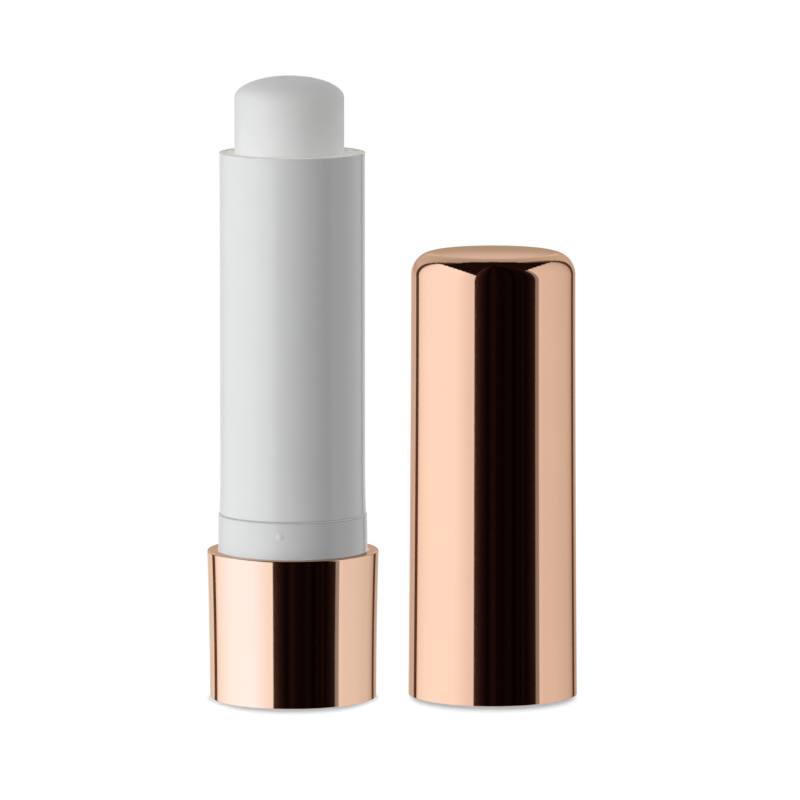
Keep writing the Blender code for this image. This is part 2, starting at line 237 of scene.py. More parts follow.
def box(low, high, turn):
    """A box between two corners, turned about the Z axis, to cut or join with."""
    mesh = bpy.data.meshes.new("tool")
    shape = bmesh.new()
    bmesh.ops.create_cube(shape, size=1.0)
    for vertex in shape.verts:
        for axis in range(3):
            vertex.co[axis] = low[axis] if vertex.co[axis] < 0 else high[axis]
    shape.to_mesh(mesh)
    shape.free()
    item = bpy.data.objects.new("tool", mesh)
    item.rotation_euler.z = turn
    scene.collection.objects.link(item)
    return item


def round_bar(radius, start_x, end_x, height, turn):
    """A round bar along a radius, at a height, to join with."""
    mesh = bpy.data.meshes.new("tool")
    shape = bmesh.new()
    bmesh.ops.create_cone(shape, cap_ends=True, segments=BAR_SEGMENTS, radius1=radius, radius2=radius,
                          depth=end_x - start_x)
    for vertex in shape.verts:
        x, y, z = vertex.co
        vertex.co = (z + (start_x + end_x) / 2, y, height - x)
    shape.to_mesh(mesh)
    shape.free()
    item = bpy.data.objects.new("tool", mesh)
    item.rotation_euler.z = turn
    scene.collection.objects.link(item)
    return item


def combine(item, tools, operation):
    """Cut tools out of an object, or join them to it, and remove them."""
    for tool in tools:
        boolean = item.modifiers.new("Combine", 'BOOLEAN')
        boolean.operation = operation
        boolean.object = tool
        boolean.solver = 'EXACT'
    finish_mesh(item)
    for tool in tools:
        bpy.data.objects.remove(tool, do_unlink=True)
    return item


def stand_for(item, node, body, material):
    """Give a piece its material and its body, and hide the CAD node that it stands for."""
    item.data.materials.clear()
    item.data.materials.append(material)
    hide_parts(node)
    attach(item, body)


# Materials

WHITE = (0.87, 0.876, 0.874)
COLLAR_WHITE_SHARE = 0.955
INNER_WHITE_SHARE = 0.95
BASE_GOLD = (0.90, 0.60, 0.44)
CAP_GOLD = (0.82, 0.515, 0.37)
GOLD_EDGE = (0.86, 0.60, 0.46, 1.0)
BALM_WHITE = (0.92, 0.922, 0.92)
GOLD_RIPPLE = 0.00000012
PLASTIC_DEPTH = 0.0008
PLASTIC_GRAIN = 0.0000003
BALM_DEPTH = 0.006
BALM_GRAIN = 0.0000012
BALM_RIPPLE = 0.000003
# Painted shade in the seam between the barrel and the collar: how near it reaches and how dark it gets
PAINTED_SEAM_REACH = 0.00009
PAINTED_SEAM_SHADE = 0.72
NOISE_LOW = 0.3
NOISE_HIGH = 0.7


class Shader:
    """A node material with a Principled BSDF, and short calls for its textures."""

    def __init__(self, name, colour, roughness, **constants):
        self.material = bpy.data.materials.new(name)
        self.material.use_nodes = True
        self.nodes = self.material.node_tree.nodes
        self.links = self.material.node_tree.links
        self.bsdf = self.nodes["Principled BSDF"]
        self.set("Base Color", (*colour, 1.0))
        self.set("Roughness", roughness)
        for key, value in constants.items():
            self.set(key.replace("_", " "), value)
        place = self.nodes.new("ShaderNodeTexCoord")
        self.place = place.outputs["Object"]

    def set(self, socket, value):
        self.bsdf.inputs[socket].default_value = value

    def link(self, output, socket):
        self.links.new(output, self.bsdf.inputs[socket])

    def noise(self, scale, detail=2.0, stretch=(1.0, 1.0, 1.0)):
        mapping = self.nodes.new("ShaderNodeMapping")
        mapping.inputs["Scale"].default_value = stretch
        self.links.new(self.place, mapping.inputs["Vector"])
        noise = self.nodes.new("ShaderNodeTexNoise")
        noise.inputs["Scale"].default_value = scale
        noise.inputs["Detail"].default_value = detail
        self.links.new(mapping.outputs["Vector"], noise.inputs["Vector"])
        return noise.outputs["Fac"]

    def spread(self, value, low, high):
        """Map the usual values of a noise to a range."""
        node = self.nodes.new("ShaderNodeMapRange")
        node.inputs["From Min"].default_value = NOISE_LOW
        node.inputs["From Max"].default_value = NOISE_HIGH
        node.inputs["To Min"].default_value = low
        node.inputs["To Max"].default_value = high
        self.links.new(value, node.inputs["Value"])
        return node.outputs["Result"]

    def blend(self, value, first, second):
        """Mix two colours by a value."""
        node = self.nodes.new("ShaderNodeMix")
        node.data_type = 'RGBA'
        node.inputs["A"].default_value = (*first, 1.0)
        node.inputs["B"].default_value = (*second, 1.0)
        self.links.new(value, node.inputs["Factor"])
        return node.outputs["Result"]

    def mottled(self, colour, scale, detail, darkest, lightest):
        """A colour that wavers between a darker and a lighter tint of itself."""
        share = self.spread(self.noise(scale, detail), 0.0, 1.0)
        return self.blend(share, tinted(colour, darkest), tinted(colour, lightest))

    def shaded(self, tint, seam):
        """Darken a colour close to a height: painted shade in the seam between two pieces."""
        split = self.nodes.new("ShaderNodeSeparateXYZ")
        self.links.new(self.place, split.inputs[0])
        gap = self.nodes.new("ShaderNodeMath")
        gap.operation = 'SUBTRACT'
        self.links.new(split.outputs["Z"], gap.inputs[0])
        gap.inputs[1].default_value = seam
        size = self.nodes.new("ShaderNodeMath")
        size.operation = 'ABSOLUTE'
        self.links.new(gap.outputs["Value"], size.inputs[0])
        near = self.nodes.new("ShaderNodeMapRange")
        near.inputs["From Min"].default_value = PAINTED_SEAM_REACH
        near.inputs["From Max"].default_value = PAINTED_SEAM_REACH * 2
        near.inputs["To Min"].default_value = 1.0
        near.inputs["To Max"].default_value = 0.0
        self.links.new(size.outputs["Value"], near.inputs["Value"])
        node = self.nodes.new("ShaderNodeMix")
        node.data_type = 'RGBA'
        node.blend_type = 'MULTIPLY'
        node.inputs["B"].default_value = (PAINTED_SEAM_SHADE, PAINTED_SEAM_SHADE, PAINTED_SEAM_SHADE, 1.0)
        self.links.new(near.outputs["Result"], node.inputs["Factor"])
        self.links.new(tint, node.inputs["A"])
        return node.outputs["Result"]

    def bump(self, height, distance, previous=None):
        node = self.nodes.new("ShaderNodeBump")
        node.inputs["Strength"].default_value = 1.0
        node.inputs["Distance"].default_value = distance
        self.links.new(height, node.inputs["Height"])
        if previous:
            self.links.new(previous, node.inputs["Normal"])
        self.link(node.outputs["Normal"], "Normal")
        return node.outputs["Normal"]


def tinted(colour, factor):
    return tuple(min(1.0, channel * factor) for channel in colour)


def rose_gold(name, colour):
    """Vacuum-metallised plastic: a mirror with a faint orange peel and a little haze."""
    shader = Shader(name, colour, 0.06, Metallic=1.0, Specular_Tint=GOLD_EDGE)
    shader.link(shader.mottled(colour, 90.0, 3.0, darkest=0.985, lightest=1.01), "Base Color")
    shader.link(shader.spread(shader.noise(1400.0, 3.0), 0.045, 0.075), "Roughness")
    shader.bump(shader.noise(650.0, 2.0), GOLD_RIPPLE)
    return shader.material


def white_plastic(name, colour, roughness, glow=0.12, seam=None):
    """Glossy moulded plastic with a little light inside it and a fine grain, with painted shade along a seam.
    """
    shader = Shader(name, colour, roughness, Subsurface_Weight=glow, Subsurface_Scale=PLASTIC_DEPTH,
                    Subsurface_Radius=(1.0, 0.95, 0.9), IOR=1.49)
    tint = shader.mottled(colour, 140.0, 3.0, darkest=0.99, lightest=1.008)
    # Painted shade along the seam, where a seam height is given
    shader.link(shader.shaded(tint, seam) if seam else tint, "Base Color")
    shader.link(shader.spread(shader.noise(1800.0, 3.0), roughness * 0.85, roughness * 1.15), "Roughness")
    shader.bump(shader.noise(2600.0, 2.0), PLASTIC_GRAIN)
    return shader.material


def balm_wax(name, colour):
    """Soft waxy balm, slightly translucent, with a faint mottle and a smooth skin."""
    shader = Shader(name, colour, 0.48, Subsurface_Weight=1.0, Subsurface_Scale=BALM_DEPTH,
                    Subsurface_Radius=(1.0, 0.93, 0.85), IOR=1.44)
    shader.link(shader.mottled(colour, 420.0, 4.0, darkest=0.985, lightest=1.01), "Base Color")
    shader.link(shader.spread(shader.noise(900.0, 3.0), 0.42, 0.54), "Roughness")
    skin = shader.bump(shader.noise(1100.0, 3.0), BALM_GRAIN)
    shader.bump(shader.noise(260.0, 2.0, stretch=(1.0, 1.0, 0.35)), BALM_RIPPLE, skin)
    return shader.material


metal_base = rose_gold("rose_gold_base", BASE_GOLD)
metal_cap = rose_gold("rose_gold_cap", CAP_GOLD)
# The barrel and the collar get painted shade at the height of the seam between them
seam_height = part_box("inner_base")[1].z + BARREL_FOOT_GAP / 2
barrel_plastic = white_plastic("white_barrel", WHITE, 0.12, seam=seam_height)
collar_plastic = white_plastic("white_collar", tinted(WHITE, COLLAR_WHITE_SHARE), 0.12, seam=seam_height)
sleeve_plastic = white_plastic("white_sleeve", WHITE, 0.2, glow=0.5)
spiral_plastic = white_plastic("white_spiral", tinted(WHITE, INNER_WHITE_SHARE), 0.35)
cup_plastic = white_plastic("white_cup", tinted(WHITE, INNER_WHITE_SHARE), 0.35)
wax = balm_wax("balm_wax", BALM_WHITE)


# Pieces

def make_base():
    """Metallised cup that closes the stick from below."""
    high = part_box("outer_base")[1]
    rim = high.x
    foot = rim - BASE_TAPER
    side_top = high.z - BASE_RIM_EDGE
    outline = [(0.0, BASE_FLOOR), (BASE_BORE, BASE_FLOOR), (BASE_BORE, high.z)]
    outline += arc(rim - BASE_RIM_EDGE, side_top, BASE_RIM_EDGE, 90, 0, EDGE_STEPS)
    for step in range(1, FLARE_STEPS):
        drop_share = step / FLARE_STEPS
        outline.append((foot + BASE_TAPER * (1.0 - drop_share) ** BASE_TAPER_POWER,
                        side_top - (side_top - BASE_FOOT_EDGE) * drop_share))
    outline += arc(foot - BASE_FOOT_EDGE, BASE_FOOT_EDGE, BASE_FOOT_EDGE, 0, -90, EDGE_STEPS)
    outline.append((0.0, 0.0))
    item = finish_mesh(turned("base_cup", outline))
    stand_for(item, "outer_base", "base", metal_base)


def nub_angles(reach_angle, spacing_angle):
    """Angles round the collar, even all round and closer together at each nub."""
    angles = set(even_angles())
    steps = math.ceil(reach_angle / spacing_angle)
    for index in range(NUB_COUNT):
        middle = (NUB_FIRST_ANGLE + math.tau * index / NUB_COUNT) % math.tau
        near = [a for a in angles if abs((a - middle + math.pi) % math.tau - math.pi) <= reach_angle]
        angles.difference_update(near)
        for step in range(-steps, steps + 1):
            angles.add((middle + reach_angle * step / steps) % math.tau)
    return sorted(angles)


def make_inner_base():
    """White insert: a collar with cap nubs, a keyed bore and a chamber below its floor."""
    low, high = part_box("inner_base")
    top = high.z
    base_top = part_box("outer_base")[1].z
    collar = high.x
    collar_top = collar - COLLAR_DRAFT
    sleeve_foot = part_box("slotted_sleeve")[0].z
    groove_foot = sleeve_foot + SNAP_BEAD_RISE - SNAP_CLEARANCE
    groove_top = sleeve_foot + SNAP_BEAD_RISE + SNAP_BEAD_HEIGHT + SNAP_CLEARANCE
    nub_height = top - NUB_DROP
    outline = [
        (0.0, INNER_FLOOR_TOP),
        (COLLAR_BORE, INNER_FLOOR_TOP),
        (COLLAR_BORE, groove_foot),
        (COLLAR_BORE + SNAP_BEAD, (groove_foot + groove_top) / 2),
        (COLLAR_BORE, groove_top),
        (COLLAR_BORE, top),
    ]
    outline += arc(collar_top - COLLAR_EDGE, top - COLLAR_EDGE, COLLAR_EDGE, 90, 0, EDGE_STEPS)
    steps = math.ceil(NUB_REACH / NUB_SPACING)
    for step in range(-steps, steps + 1):
        z = nub_height - NUB_REACH * step / steps
        draft_share = (top - COLLAR_EDGE - z) / (top - COLLAR_EDGE - base_top)
        outline.append((collar_top + COLLAR_DRAFT * draft_share, z))
    outline += [
        (collar, base_top),
        (collar, low.z),
        (collar - INNER_BASE_WALL, low.z),
        (collar - INNER_BASE_WALL, INNER_FLOOR_TOP - INNER_BASE_FLOOR),
        (0.0, INNER_FLOOR_TOP - INNER_BASE_FLOOR),
    ]
    item = turned("base_insert", outline,
                  angles=nub_angles(NUB_REACH / collar, NUB_SPACING / collar))
    nub_centre = collar_top + NUB_PROUD - NUB_RADIUS
    skin = collar_top - NUB_RADIUS * NUB_SKIN_SHARE
    for vertex in item.data.vertices:
        x, y, z = vertex.co
        r = math.hypot(x, y)
        if r < skin or abs(z - nub_height) > NUB_REACH:
            continue
        for index in range(NUB_COUNT):
            middle = NUB_FIRST_ANGLE + math.tau * index / NUB_COUNT
            side = r * math.sin(math.atan2(y, x) - middle)
            ahead = math.cos(math.atan2(y, x) - middle)
            reach_squared = NUB_RADIUS ** 2 - side ** 2 - (z - nub_height) ** 2
            if ahead < 0 or reach_squared <= 0:
                continue
            rise = nub_centre + math.sqrt(reach_squared) - r
            swell = NUB_BLEND * math.log1p(math.exp(rise / NUB_BLEND))
            vertex.co.x = x * (r + swell) / r
            vertex.co.y = y * (r + swell) / r
    keys = []
    for index in range(KEY_COUNT):
        turn = math.tau * (index + 0.5) / KEY_COUNT
        keys.append(box((SLEEVE_BORE, -KEY_WIDTH / 2, INNER_FLOOR_TOP - INNER_BASE_FLOOR / 2),
                        (COLLAR_BORE + SNAP_BEAD, KEY_WIDTH / 2, sleeve_foot + KEY_HEIGHT), turn))
    combine(item, keys, 'UNION')
    stand_for(item, "inner_base", "base", collar_plastic)


def make_sleeve():
    """Slotted sleeve with a flange and a chamfer at its mouth."""
    low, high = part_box("slotted_sleeve")
    flange = BARREL_BORE - MOUTH_GAP
    radius = SLEEVE_BORE + SLEEVE_WALL
    bead_foot = low.z + SNAP_BEAD_RISE
    bead_top = bead_foot + SNAP_BEAD_HEIGHT
    outline = [(SLEEVE_BORE, high.z - MOUTH_CHAMFER)]
    outline.append((SLEEVE_BORE + MOUTH_CHAMFER, high.z))
    outline += arc(flange - MOUTH_ROUND, high.z - MOUTH_ROUND, MOUTH_ROUND, 90, 0, EDGE_STEPS)
    outline += [
        (flange, high.z - FLANGE_THICKNESS),
        (radius, high.z - FLANGE_THICKNESS),
        (radius, bead_top),
        (radius + SNAP_BEAD, (bead_foot + bead_top) / 2),
        (radius, bead_foot),
        (radius, low.z),
        (SLEEVE_BORE, low.z),
    ]
    item = turned("sleeve_tube", outline, closed=True)
    cuts = [box((-flange - CUT_OVERRUN, -SLOT_HALF_WIDTH, SLOT_FOOT),
                (flange + CUT_OVERRUN, SLOT_HALF_WIDTH, SLOT_TOP), 0.0)]
    for index in range(KEY_COUNT):
        turn = math.tau * (index + 0.5) / KEY_COUNT
        half_width = KEY_WIDTH / 2 + KEY_CLEARANCE
        cuts.append(box((SLEEVE_BORE - CUT_OVERRUN, -half_width, low.z - CUT_OVERRUN),
                        (radius + CUT_OVERRUN, half_width, low.z + KEY_HEIGHT + KEY_CLEARANCE), turn))
    combine(item, cuts, 'DIFFERENCE')
    stand_for(item, "slotted_sleeve", "base", sleeve_plastic)


def make_barrel():
    """Outer tube that the fingers hold, with a fine lip and a slightly flared skirt."""
    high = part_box("barrel")[1]
    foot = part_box("inner_base")[1].z + BARREL_FOOT_GAP
    skirt = high.x
    lip = BARREL_RADIUS + BARREL_LIP
    outline = [(BARREL_BORE, high.z)]
    outline += arc(lip - BARREL_EDGE, high.z - BARREL_EDGE, BARREL_EDGE, 90, 0, EDGE_STEPS)
    outline += [(lip, high.z - BARREL_LIP_HEIGHT / 2), (BARREL_RADIUS, high.z - BARREL_LIP_HEIGHT)]
    for step in range(FLARE_STEPS):
        drop_share = step / FLARE_STEPS
        outline.append((BARREL_RADIUS + (skirt - BARREL_RADIUS) * drop_share ** SKIRT_POWER,
                        foot + SKIRT_HEIGHT * (1.0 - drop_share)))
    outline += arc(skirt - BARREL_FOOT_EDGE, foot + BARREL_FOOT_EDGE, BARREL_FOOT_EDGE, 0, -90, EDGE_STEPS)
    outline.append((BARREL_BORE, foot))
    item = finish_mesh(turned("barrel_tube", outline, closed=True))
    stand_for(item, "barrel", "barrel", barrel_plastic)


def make_cup():
    """Cup that carries the balm, with two lugs for the slots."""
    low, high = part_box("cup")
    radius = high.y
    outline = [
        (0.0, low.z + CUP_FLOOR),
        (radius - CUP_WALL, low.z + CUP_FLOOR),
        (radius - CUP_WALL, high.z),
        (radius - CUP_EDGE, high.z),
        (radius, high.z - CUP_EDGE),
        (radius, low.z + CUP_EDGE),
        (radius - CUP_EDGE, low.z),
        (0.0, low.z),
    ]
    item = turned("balm_cup", outline)
    lugs = []
    for index in range(LUG_COUNT):
        lugs.append(round_bar(LUG_RADIUS, radius - CUP_WALL / 2, high.x, low.z + LUG_RISE,
                              math.tau * index / LUG_COUNT))
    combine(item, lugs, 'UNION')
    stand_for(item, "cup", "carriage", cup_plastic)


def make_balm():
    """Domed stick of wax on a thinner stem."""
    low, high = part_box("balm")
    cup_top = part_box("cup")[1].z
    radius = (high.x - low.x) / 2
    outline = []
    for step in range(DOME_STEPS + 1):
        angle = math.radians(90) * step / DOME_STEPS
        outline.append((radius * math.sin(angle), high.z - BALM_DOME_HEIGHT * (1.0 - math.cos(angle))))
    seat = cup_top + SEAT_GAP
    outline += [
        (radius, seat + BALM_FOOT_EDGE),
        (radius - BALM_FOOT_EDGE, seat),
        (STEM_RADIUS, seat),
        (STEM_RADIUS, low.z + BALM_FOOT_EDGE),
        (STEM_RADIUS - BALM_FOOT_EDGE, low.z),
        (0.0, low.z),
    ]
    item = finish_mesh(turned("balm_stick", outline, centre=((low.x + high.x) / 2, 0.0)))
    stand_for(item, "balm", "carriage", wax)


def make_cap():
    """Pull-off cap, standing on its open end beside the stick."""
    low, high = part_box("cap")
    rim = (high.x - low.x) / 2
    top = rim - CAP_TAPER
    corner = top - CAP_CORNER
    corner_z = high.z - CAP_CROWN_DROP - CAP_CORNER
    crown_radius = (corner ** 2 + CAP_CROWN_DROP ** 2) / (2 * CAP_CROWN_DROP)
    outline = []
    for step in range(FLARE_STEPS):
        r = corner * step / FLARE_STEPS
        outline.append((r, high.z - crown_radius + math.sqrt(crown_radius ** 2 - r ** 2)))
    outline += arc(corner, corner_z, CAP_CORNER, 90, 0, CORNER_STEPS)
    for step in range(1, FLARE_STEPS):
        rise_share = 1.0 - step / FLARE_STEPS
        outline.append((top + CAP_TAPER * (1.0 - rise_share) ** CAP_TAPER_POWER,
                        CAP_RIM_EDGE + (corner_z - CAP_RIM_EDGE) * rise_share))
    outline += arc(rim - CAP_RIM_EDGE, CAP_RIM_EDGE, CAP_RIM_EDGE, 0, -90, EDGE_STEPS)
    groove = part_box("inner_base")[1].z - NUB_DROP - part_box("outer_base")[1].z
    inner_top = top - CAP_TOP_WALL
    outline += [
        (CAP_BORE + CAP_RIM_EDGE, 0.0),
        (CAP_BORE, CAP_RIM_EDGE),
        (CAP_BORE, groove - CAP_GROOVE_HEIGHT / 2),
        (CAP_BORE + CAP_GROOVE_DEPTH, groove),
        (CAP_BORE, groove + CAP_GROOVE_HEIGHT / 2),
    ]
    outline += arc(inner_top - CAP_INNER_CORNER, high.z - CAP_CROWN_WALL - CAP_INNER_CORNER,
                   CAP_INNER_CORNER, 0, 90, EDGE_STEPS)
    outline.append((0.0, high.z - CAP_CROWN_WALL))
    item = finish_mesh(turned("pull_off_cap", outline,
                              centre=((low.x + high.x) / 2, (low.y + high.y) / 2)))
    stand_for(item, "cap", "cap", metal_cap)


make_base()
make_inner_base()
make_sleeve()
make_barrel()
make_cup()
make_balm()
make_cap()
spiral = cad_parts["spiral"]
spiral.data.materials.clear()
spiral.data.materials.append(spiral_plastic)


# Studio

# Distances of the cards from the stick's foot
SIDE_DISTANCE = 3.0
BASE_SIDE_DISTANCE = 2.7
WHITE_BACK_DISTANCE = 5.1
CAP_BACK_DISTANCE = 5.25
METAL_BACK_DISTANCE = 5.4
CROWN_DISTANCE = 5.7
BACK_DISTANCE = 6.0
GAP_DISTANCE = 6.6
UNDERFOOT_DISTANCE = 7.5
FRONT_DISTANCE = 12.0
TENT_DISTANCE = 13.2
CARD_COLUMNS = 48
CARD_ROWS = 24

# Edges of the cards, in degrees of azimuth and of elevation
LEFT_FRONT = -26.6
LEFT_BACK = -129.5
RIGHT_STRIP = 60.8
RIGHT_BACK = 141.0
BACK_FIRST = 150.5
BACK_LAST = 220.5
CROWN_FIRST = 172
CROWN_LAST = 188
GAP_OVERLAP = 2
PANEL_TOP_SHARE = 1.3
BACK_TOP = 61.0
LOWEST = -60.0

# Strength of each card by azimuth, as one level or as red, green and blue
LEFT_GLOW = [(LEFT_BACK, (0.94, 1.02, 1.10)), (-122, (1.16, 1.25, 1.32)), (-108, (1.21, 1.31, 1.36)),
             (-92, (1.25, 1.34, 1.39)), (-56, (1.25, 1.32, 1.37)), (-47, (1.16, 1.21, 1.25)),
             (-34, (1.02, 1.05, 1.06)), (LEFT_FRONT, (0.98, 1.02, 1.01))]
RIGHT_GLOW = [(RIGHT_STRIP, 0.32), (66.4, 0.34), (66.6, (0.93, 0.93, 0.92)), (76, (0.88, 0.87, 0.87)),
              (95, (0.87, 0.87, 0.86)), (112, (0.80, 0.82, 0.81)), (122, (0.79, 0.82, 0.83)),
              (128, (0.76, 0.80, 0.82)), (136, (0.65, 0.69, 0.71)), (RIGHT_BACK, (0.55, 0.58, 0.59))]
FRONT_GLOW = [(LEFT_FRONT, 0.07), (-20, 0.028), (-14, 0.011), (-8, 0.003), (0, 0.014), (5, 0.006),
              (14, 0.004), (22, 0.008), (29, 0.001), (35, 0.008), (38, 0.002), (41, 0.01), (46, 0.003),
              (52, 0.012), (58, 0.024), (RIGHT_STRIP, 0.03)]
FRONT_COLOUR = (1.0, 0.5, 0.4)
LOW_GLOW = [(BACK_FIRST, 0.65), (CROWN_FIRST, 0.65), (CROWN_LAST, 0.8), (BACK_LAST, 0.8)]

# Strength of each card by elevation
HIGH_GLOW = [(0, 0.72), (8, 0.70), (10.4, 0.77), (12.7, 0.78), (20, 0.76), (26, 0.72), (44, 0.55),
             (BACK_TOP, 0.44)]
CROWN_GLOW = [(0, (0.50, 0.33, 0.16)), (3, (0.53, 0.39, 0.22)), (5.6, (0.56, 0.48, 0.34)),
              (8.2, (0.64, 0.63, 0.59)), (10.4, (0.81, 0.80, 0.79)), (13, (0.92, 0.93, 0.93)),
              (18, (0.92, 0.93, 0.93))]
UNDERFOOT_GLOW = [(-90, 0.62), (-60, 0.55), (-40, 0.3), (-28, 0.02)]
GAP_GLOW = [(LOWEST, 1.0), (BACK_TOP, 1.0)]
GAP_COLOUR = (0.12, 0.075, 0.05)

# Light that only some pieces mirror, on top of the cards: it cools the highlights of the metal
BASE_LEFT_GLOW = [(LEFT_BACK, (0.0, 0.0, 0.0)), (-120, (0.0, 0.0, 0.06)), (-108, (0.0, 0.02, 0.20)),
                  (-92, (0.0, 0.08, 0.30)), (-56, (0.0, 0.09, 0.35)), (-47, (0.0, 0.10, 0.30)),
                  (-34, (0.06, 0.10, 0.13)), (LEFT_FRONT, (0.10, 0.11, 0.16))]
BASE_LOW_GLOW = [(BACK_FIRST, (0.03, 0.14, 0.24)), (CROWN_FIRST, (0.03, 0.14, 0.24)),
                 (CROWN_LAST, (0.17, 0.40, 0.59)), (BACK_LAST, (0.17, 0.40, 0.59))]
CAP_LOW_GLOW = [(BACK_FIRST, (0.0, 0.08, 0.11)), (CROWN_FIRST, (0.0, 0.08, 0.11)),
                (CROWN_LAST, (0.02, 0.15, 0.28)), (BACK_LAST, (0.02, 0.15, 0.28))]
METAL_HIGH_GLOW = [(0, (0.0, 0.10, 0.18)), (8, (0.0, 0.04, 0.04)), (10.4, (0.0, 0.08, 0.13)),
                   (12.7, (0.0, 0.12, 0.19)), (20, (0.0, 0.12, 0.18)), (26, (0.0, 0.11, 0.15)),
                   (44, (0.0, 0.06, 0.07)), (BACK_TOP, (0.0, 0.04, 0.04))]
WHITE_GAP_GLOW = [(LOWEST, 0.85), (BACK_TOP, 0.85)]
WHITE_HIGH_GLOW = [(4, 0.2), (22, 0.2)]

# Painted reflection: the collar's lit and shaded brightness, by azimuth, as the rim of the base mirrors it
ECHO_GLOW = [(-180, 0.5), (-90, 0.72), (-64, 0.72), (-47, 0.8), (-30, 0.72), (-17, 0.6), (-3, 0.46),
             (12, 0.35), (25, 0.27), (40, 0.31), (50, 0.35), (60, 0.31), (90, 0.3), (180, 0.5)]
ECHO_COLOUR = (0.8, 1.0, 1.1)
ECHO_HEIGHT = 0.0016
ECHO_REACH = 0.004
ECHO_INSET = 0.00002
ECHO_SEGMENTS = 96

# Strength of the soft boxes by azimuth
STICK_LAMPS = [(-150, 0.4), (-90, 0.39), (-70, 1.05), (-50, 1.06), (-35, 0.76), (-20, 0.44), (-5, 0.18),
               (10, 0.02), (45, 0.05), (85, 0.15), (105, 0.95), (125, 1.34), (180, 0.6)]
BALM_LAMPS = [(-150, 0.4), (-80, 1.1), (-50, 1.4), (-28, 0.8), (5, 0.28), (35, 0.26), (90, 0.4), (120, 1.6),
              (180, 0.6)]
CAP_LAMPS = [(-70, 1.2), (100, 1.0)]
LAMP_DISTANCE = 0.6
LAMP_WIDTH = 0.36
LAMP_HEIGHT = 1.1
LAMP_ELEVATION = 5.0
BALM_LAMP_ELEVATION = 9.0
RIM_SHADED_LAMP = -50

# The dark room, the dim light from all round, the floor and its suns, tilted by degrees
TENT_COLOUR = (1.0, 0.6, 0.4)
TENT_GLOW = 0.012
AMBIENT_GLOW = 0.05
FLOOR_SIZE = 6.0
FLOOR_COLOUR = (0.6, 0.6, 0.6)
SUN_STRENGTH = 0.74
SUN_WIDTH = math.radians(1.3)
SUN_NEAR_TILT = 2.4
CAP_SUN_TILTS = (3.0, 4.2, 5.6)
WHITE_SUN_TILT = 3.1
STICK_SUN_TILTS = (3.8, 4.8)

# The brightest level that a glow can have, because a ramp's own colours end at 1
TOP_LEVEL = 2.0


def span(stops):
    """The first and the last place of a row of levels."""
    return stops[0][0], stops[-1][0]


def node_maker(owner):
    """Empty the node tree of a material or world, and return it with a function that adds math nodes."""
    owner.use_nodes = True
    tree = owner.node_tree
    tree.nodes.clear()

    def math_node(operation, *values):
        node = tree.nodes.new("ShaderNodeMath")
        node.operation = operation
        for socket, value in zip(node.inputs, values):
            if isinstance(value, bpy.types.NodeSocket):
                tree.links.new(value, socket)
            else:
                socket.default_value = value
        return node.outputs["Value"]

    return tree, math_node


def glow_material(name, stops, by_elevation=False, colour=(1.0, 1.0, 1.0), added=False, reach=None):
    """Emission whose strength follows the azimuth or elevation, in degrees, seen from the stick.

    Added emission lets what is behind it through. With a reach, only reflections
    from nearer than that see it.
    """
    material = bpy.data.materials.new(name)
    tree, math_node = node_maker(material)
    place = tree.nodes.new("ShaderNodeNewGeometry").outputs["Position"]
    split = tree.nodes.new("ShaderNodeSeparateXYZ")
    tree.links.new(place, split.inputs[0])
    x, y, z = split.outputs
    if by_elevation:
        level = math_node('SQRT', math_node('ADD', math_node('MULTIPLY', x, x), math_node('MULTIPLY', y, y)))
        angle = math_node('ARCTAN2', z, level)
    else:
        angle = math_node('ARCTAN2', x, math_node('MULTIPLY', y, -1.0))
    first, last = span(stops)
    degrees = math_node('DEGREES', angle)
    if last > 180:
        degrees = math_node('WRAP', degrees, 360.0, 0.0)
    share = math_node('DIVIDE', math_node('SUBTRACT', degrees, first), last - first)
    ramp = tree.nodes.new("ShaderNodeValToRGB")
    elements = ramp.color_ramp.elements
    while len(elements) < len(stops):
        elements.new(0.5)
    for element, (stop, strength) in zip(elements, stops):
        levels = strength if isinstance(strength, tuple) else (strength, strength, strength)
        element.position = (stop - first) / (last - first)
        element.color = (*[level / TOP_LEVEL * channel for level, channel in zip(levels, colour)], 1.0)
    tree.links.new(share, ramp.inputs["Fac"])
    emission = tree.nodes.new("ShaderNodeEmission")
    tree.links.new(ramp.outputs["Color"], emission.inputs["Color"])
    emission.inputs["Strength"].default_value = TOP_LEVEL
    surface = emission.outputs["Emission"]
    if added:
        both = tree.nodes.new("ShaderNodeAddShader")
        tree.links.new(surface, both.inputs[0])
        tree.links.new(tree.nodes.new("ShaderNodeBsdfTransparent").outputs["BSDF"], both.inputs[1])
        surface = both.outputs["Shader"]
    if reach:
        ray_length = tree.nodes.new("ShaderNodeLightPath").outputs["Ray Length"]
        choice = tree.nodes.new("ShaderNodeMixShader")
        tree.links.new(math_node('LESS_THAN', ray_length, reach), choice.inputs["Fac"])
        tree.links.new(tree.nodes.new("ShaderNodeBsdfTransparent").outputs["BSDF"], choice.inputs[1])
        tree.links.new(surface, choice.inputs[2])
        surface = choice.outputs["Shader"]
    output = tree.nodes.new("ShaderNodeOutputMaterial")
    tree.links.new(surface, output.inputs["Surface"])
    material.cycles.emission_sampling = 'NONE'
    return material


def card(name, verts, faces, material, lit=None):
    """A studio card that only reflections see, in all pieces or in some."""
    mesh = bpy.data.meshes.new(name)
    mesh.from_pydata(verts, [], faces)
    mesh.materials.append(material)
    item = bpy.data.objects.new(name, mesh)
    scene.collection.objects.link(item)
    item.visible_camera = False
    item.visible_diffuse = False
    item.visible_shadow = False
    item.visible_transmission = False
    if lit:
        item.light_linking.receiver_collection = lit
    return item


def side_card(name, side, front, back, material, distance=SIDE_DISTANCE, lit=None):
    """A flat upright card beside the stick, between two azimuths."""
    x = side * distance
    near = -distance / math.tan(math.radians(abs(front)))
    far = -distance / math.tan(math.radians(abs(back)))
    foot = distance * math.tan(math.radians(LOWEST))
    top = distance * PANEL_TOP_SHARE
    corners = [(x, near, foot), (x, far, foot), (x, far, top), (x, near, top)]
    card(name, corners, [(0, 1, 2, 3)], material, lit)


